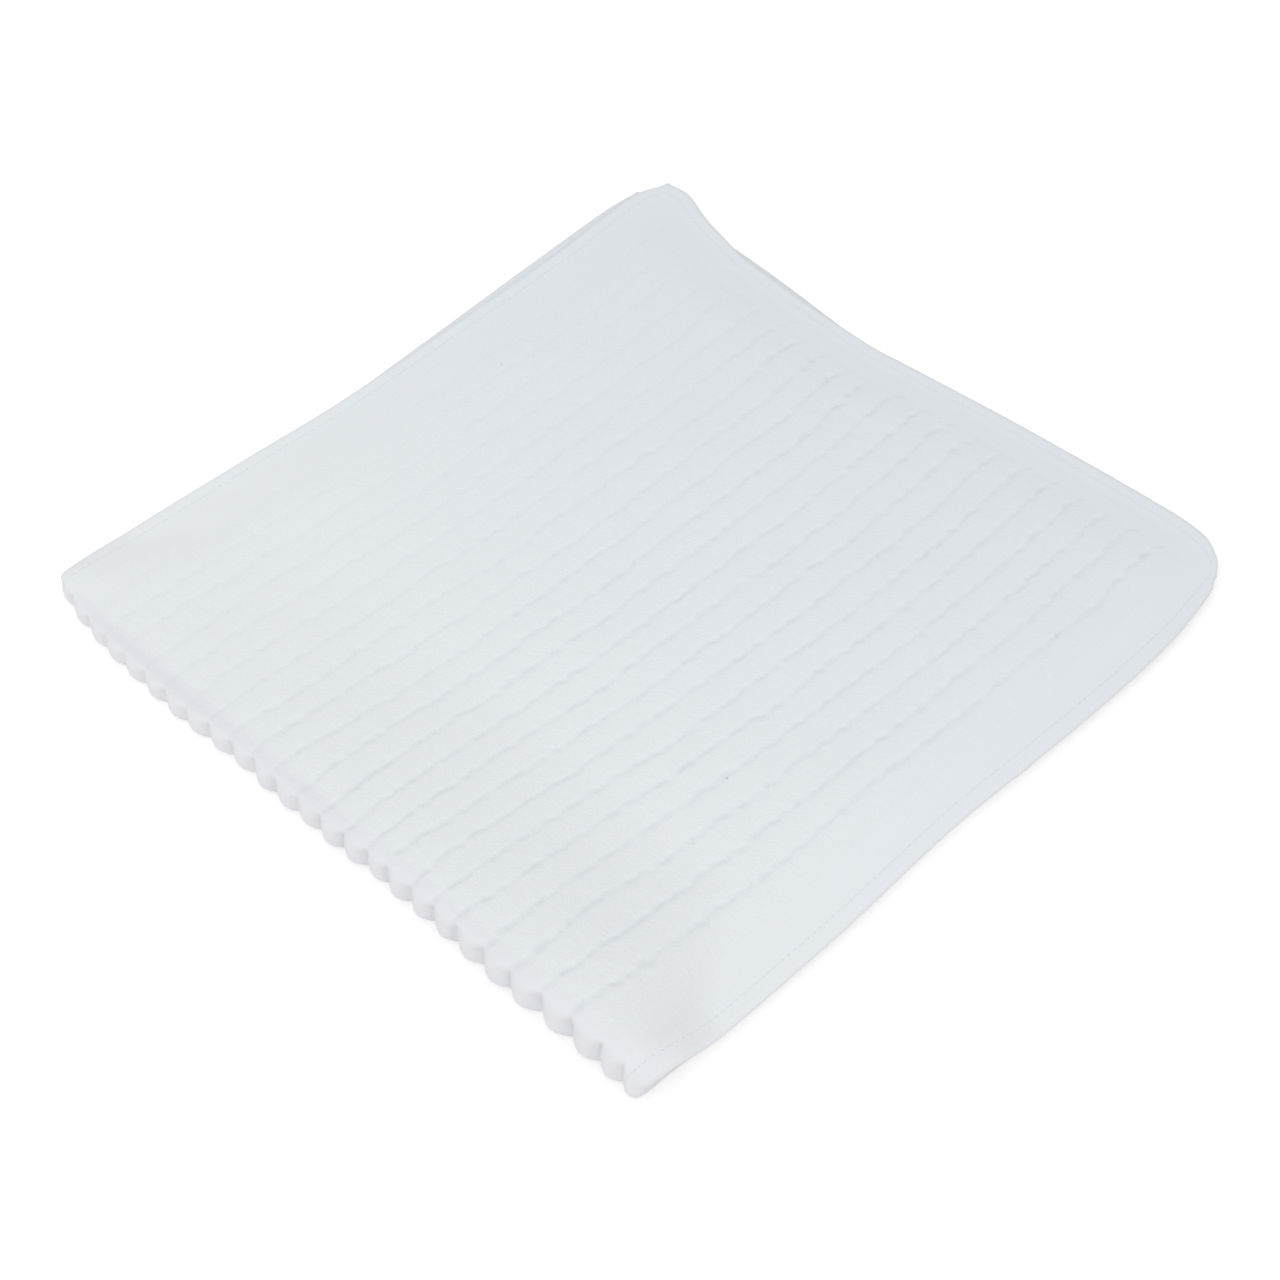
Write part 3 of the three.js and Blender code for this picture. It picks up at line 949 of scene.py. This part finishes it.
def weaveFaces(piece):
    # the bend's plain borders take the plain weave
    piece.data.materials.append(weave)
    places = piece.data.attributes["clothPlace"].data
    for polygon in piece.data.polygons:
        s = sum(places[i].vector[0] for i in polygon.vertices) / len(polygon.vertices)
        if s < fieldStart or s > fieldEnd:
            polygon.material_index = 1


def turnWithJoint(piece):
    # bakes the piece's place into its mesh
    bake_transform(piece)


bend = bendPiece()
print("bend made")


# Sewing: every stitch is a short rounded bar half sunk in the cloth

stitch = {
    "length": 2.5 * mm,
    "width": 0.42 * mm,
    "height": 0.34 * mm,
    "sunk": 0.08 * mm,
    "segments": 6,
    "rings": 4,
}


def stitchRow(name, leaf, spots, lay, node):
    # spots are places and headings in cloth coordinates, lay puts a point of a stitch in place;
    # a row without a node of its own lies in the bend and is baked in place with it
    segments = {"u_segments": stitch["segments"], "v_segments": stitch["rings"]}
    bm = bmesh.new()
    shape = Matrix.Diagonal((stitch["length"], stitch["width"], stitch["height"], 1))
    for s, along, heading in spots:
        turn = Matrix.Rotation(heading, 4, "Z")
        at = Matrix.Translation((s, along, 0)) @ turn @ shape
        bmesh.ops.create_uvsphere(bm, radius=0.5, matrix=at, **segments)
    for f in bm.faces:
        f.smooth = True

    def place(s, along, rise):
        return lay(s, along, rise), (s, along, rise)

    piece = finishPiece(bm, name, place, thread)
    if node:
        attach(piece, leaf.body)
        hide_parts(node)
    else:
        turnWithJoint(piece)


def needleFace(leaf, lay):
    def at(s, along, rise):
        return lay(s, along, plainDepth(leaf, s, along, 0) - rise)
    return at


def bobbinFace(leaf, lay):
    def at(s, along, rise):
        return lay(s, along, hemThickness * pressed(along) + rise - stitch["sunk"])
    return at


faces = {"Needle": needleFace, "Bobbin": bobbinFace}
inset = hem["seamInset"]
rows = {"Left": inset, "Right": cloth["width"] - inset}
quarter = math.pi / 2
for name, leaf in leaves.items():
    past = fold["strip"] + hem["stitch"] / 2
    count = int((leaf.length - inset - past) / hem["stitch"])
    endCount = int((cloth["width"] - 2 * inset) / hem["stitch"])
    bendCount = int(fold["strip"] / hem["stitch"])
    for faceName, face in faces.items():
        node = "_" + faceName.lower() + "_thread"
        for rowName, s in rows.items():
            spots = [(s, past + hem["stitch"] * i, quarter) for i in range(count)]
            label = leaf.name + rowName + faceName
            rowNode = leaf.name + "_" + rowName.lower() + node
            stitchRow(label + "Thread", leaf, spots, face(leaf, leaf.lay), rowNode)
            spots = [(s, hem["stitch"] * (i + 0.5), quarter) for i in range(bendCount)]
            inFold = face(leaf, functools.partial(layInFold, leaf))
            stitchRow(label + "FoldThread", leaf, spots, inFold, None)
        spots = [(inset + hem["stitch"] * (i + 0.5), leaf.length - inset, 0) for i in range(endCount)]
        endNode = leaf.name + "_end" + node
        stitchRow(leaf.name + "End" + faceName + "Thread", leaf, spots, face(leaf, leaf.lay), endNode)
print("stitches made")


# The width the cloth was cut to, with its turned edges

cloth["width"] + 2 * flapReach


# Floor, light and camera

studio = {
    "floorSize": 8,
    "floorSeen": (1, 1, 1, 1),
    "floorGlow": 0.5,           # share of a plain white in what the camera sees of the floor
    "floorBounce": (0.9, 0.83, 0.85, 1),
    "skyFront": 1.2,
    "skyBack": 0.28,
    "skyAzimuth": 27,
    "skyElevation": 58,
    "skyLow": -0.7,             # cosines of the angles at which it is darkest and brightest
    "skyHigh": 0.9,
    "key": 0.4,
    "keyAzimuth": 25,
    "keyElevation": 63,
    "keyAngle": 40,
}

view = {
    "azimuth": 45.06,
    "elevation": 52.15,
    "distance": 885.9 * mm,
    "lens": 67.7,
    "sensor": 36,
    "aimX": 14.7 * mm,          # from the middle of the cloth's width
    "aimY": 136.8 * mm,         # from the cloth's straight front edge
}


def direction(azimuth, elevation):
    a = math.radians(azimuth)
    e = math.radians(elevation)
    return Vector((math.sin(a) * math.cos(e), -math.cos(a) * math.cos(e), math.sin(e)))


def studioFloor():
    # the floor looks white and keeps a soft shadow
    bm = bmesh.new()
    bmesh.ops.create_grid(bm, x_segments=1, y_segments=1, size=studio["floorSize"] / 2)
    data = bpy.data.meshes.new("studioFloor")
    bm.to_mesh(data)
    bm.free()
    material, graph = newMaterial("studioFloor")
    seen = graph.fromCamera()
    colour = graph.mixColours(seen, studio["floorBounce"], studio["floorSeen"])
    matt = graph.node("ShaderNodeBsdfDiffuse", {}, {"Color": colour})
    glow = graph.node("ShaderNodeEmission", {}, {"Color": studio["floorSeen"], "Strength": 1})
    shader = graph.node("ShaderNodeMixShader", {}, {0: seen * studio["floorGlow"], 1: matt, 2: glow})
    graph.node("ShaderNodeOutputMaterial", {}, {"Surface": shader})
    data.materials.append(material)
    floor = bpy.data.objects.new("studioFloor", data)
    bpy.context.scene.collection.objects.link(floor)


def studioWorld():
    # a soft sky, brighter on the camera's side, which the camera sees as plain white
    world = bpy.data.worlds.new("studio")
    bpy.context.scene.world = world
    world.use_nodes = True
    graph = Graph(world.node_tree)
    place = graph.node("ShaderNodeTexCoord", output="Generated")
    towards = direction(studio["skyAzimuth"], studio["skyElevation"])
    facing = graph.node("ShaderNodeVectorMath", {"operation": "DOT_PRODUCT"}, [place, towards], output=1)
    rise = graph.between(facing, studio["skyLow"], studio["skyHigh"])
    strength = rise * (studio["skyFront"] - studio["skyBack"]) + studio["skyBack"]
    seen = graph.fromCamera()
    values = {"Color": (1, 1, 1, 1), "Strength": strength * (1 - seen) + seen}
    sky = graph.node("ShaderNodeBackground", {}, values)
    graph.node("ShaderNodeOutputWorld", {}, {"Surface": sky})


def studioSun():
    sun = bpy.data.lights.new("key", "SUN")
    sun.energy = studio["key"]
    sun.angle = math.radians(studio["keyAngle"])
    lamp = bpy.data.objects.new("key", sun)
    towards = direction(studio["keyAzimuth"], studio["keyElevation"])
    lamp.rotation_mode = "QUATERNION"
    lamp.rotation_quaternion = towards.to_track_quat("Z", "Y")
    bpy.context.scene.collection.objects.link(lamp)


def camera():
    data = bpy.data.cameras.new("camera")
    data.lens = view["lens"]
    data.sensor_width = view["sensor"]
    eye = bpy.data.objects.new("camera", data)
    back = direction(view["azimuth"], view["elevation"])
    aim = Vector((middleX + view["aimX"], middleY + view["aimY"], 0))
    eye.location = aim + back * view["distance"]
    eye.rotation_mode = "QUATERNION"
    eye.rotation_quaternion = back.to_track_quat("Z", "Y")
    bpy.context.scene.collection.objects.link(eye)
    bpy.context.scene.camera = eye


studioFloor()
studioWorld()
studioSun()
camera()
bpy.context.scene.view_settings.view_transform = "Standard"
print("studio made")
